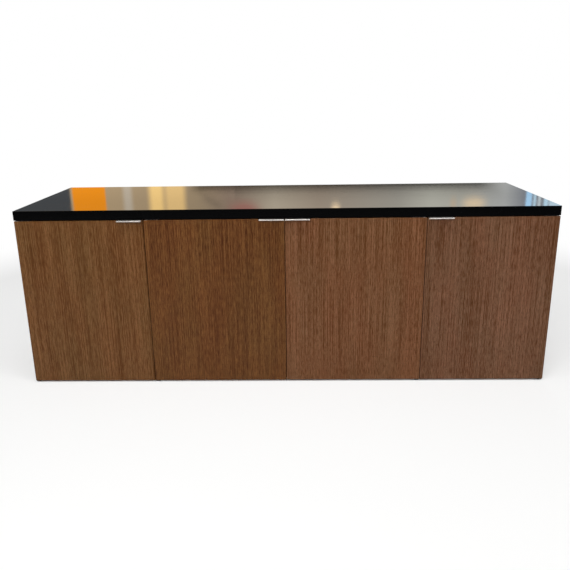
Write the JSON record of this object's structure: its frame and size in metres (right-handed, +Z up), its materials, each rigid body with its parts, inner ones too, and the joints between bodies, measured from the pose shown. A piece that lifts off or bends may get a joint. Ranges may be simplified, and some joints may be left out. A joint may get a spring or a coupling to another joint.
{
  "type": "office credenza",
  "caption": "Low office credenza: a thick black top slab over a veneered case, pivot-hung slab doors with metal tab pulls, and bays with adjustable shelves.",
  "frame": {"origin": "on the floor, under the middle of the overall box, which takes in the door pulls", "axes": "+X to the right seen from the front, +Y to the back, +Z up"},
  "size_m": [1.829, 0.526, 0.635],
  "materials": {
    "black_lacquer": "black lacquer over wood, semi-gloss, with eased edges",
    "door_veneer": "straight-grained brown veneer, grain upright, satin lacquer",
    "veneer": "straight-grained brown veneer, satin lacquer",
    "satin_nickel": "satin nickel, brushed lengthwise",
    "plated_steel": "zinc-plated steel",
    "blackened_steel": "blackened steel, dull",
    "brass": "turned brass",
    "nylon": "natural nylon",
    "black_plastic": "moulded black plastic",
    "soft_bumper": "soft clear-grey elastomer",
    "beech": "plain beech dowel"
  },
  "bodies": {
    "case": {"top_slab": "black_lacquer", "left_end_panel": "veneer", "right_end_panel": "veneer", "left_partition": "veneer", "right_partition": "veneer", "bottom_panel": "veneer", "sub_top_panel": "veneer", "back_panel": "veneer", "left_shelf": "veneer", "centre_shelf": "veneer", "right_shelf": "veneer", "case_dowels": "beech", "shelf_pegs": "plated_steel", "levelling_glides": "black_plastic", "glide_inserts": "brass", "slab_screws": "plated_steel", "back_screws": "plated_steel", "upper_case_leaves": "blackened_steel", "lower_case_leaves": "blackened_steel", "pivot_pins": "plated_steel", "stop_pins": "plated_steel", "pivot_washers": "nylon", "case_leaf_screws": "plated_steel", "door_catches": "black_plastic", "door_bumpers": "soft_bumper"},
    "outer_left_door": {"outer_left_door": "door_veneer", "outer_left_pull": "satin_nickel", "outer_left_pull_screws": "plated_steel", "outer_left_door_leaves": "blackened_steel", "outer_left_leaf_screws": "plated_steel", "outer_left_catch_strike": "plated_steel"},
    "centre_left_door": {"centre_left_door": "door_veneer", "centre_left_pull": "satin_nickel", "centre_left_pull_screws": "plated_steel", "centre_left_door_leaves": "blackened_steel", "centre_left_leaf_screws": "plated_steel", "centre_left_catch_strike": "plated_steel"},
    "centre_right_door": {"centre_right_door": "door_veneer", "centre_right_pull": "satin_nickel", "centre_right_pull_screws": "plated_steel", "centre_right_door_leaves": "blackened_steel", "centre_right_leaf_screws": "plated_steel", "centre_right_catch_strike": "plated_steel"},
    "outer_right_door": {"outer_right_door": "door_veneer", "outer_right_pull": "satin_nickel", "outer_right_pull_screws": "plated_steel", "outer_right_door_leaves": "blackened_steel", "outer_right_leaf_screws": "plated_steel", "outer_right_catch_strike": "plated_steel"}
  },
  "joints": [
    {"name": "outer_left_hinge", "type": "hinge", "parent": "case", "child": "outer_left_door", "pos_m": [-0.9045, -0.239, 0.3035], "axis": [0, 0, -1], "range_deg": [0, 95]},
    {"name": "centre_left_hinge", "type": "hinge", "parent": "case", "child": "centre_left_door", "pos_m": [-0.46598, -0.239, 0.3035], "axis": [0, 0, -1], "range_deg": [0, 95]},
    {"name": "centre_right_hinge", "type": "hinge", "parent": "case", "child": "centre_right_door", "pos_m": [0.46598, -0.239, 0.3035], "axis": [0, 0, 1], "range_deg": [0, 95]},
    {"name": "outer_right_hinge", "type": "hinge", "parent": "case", "child": "outer_right_door", "pos_m": [0.9045, -0.239, 0.3035], "axis": [0, 0, 1], "range_deg": [0, 95]}
  ]
}
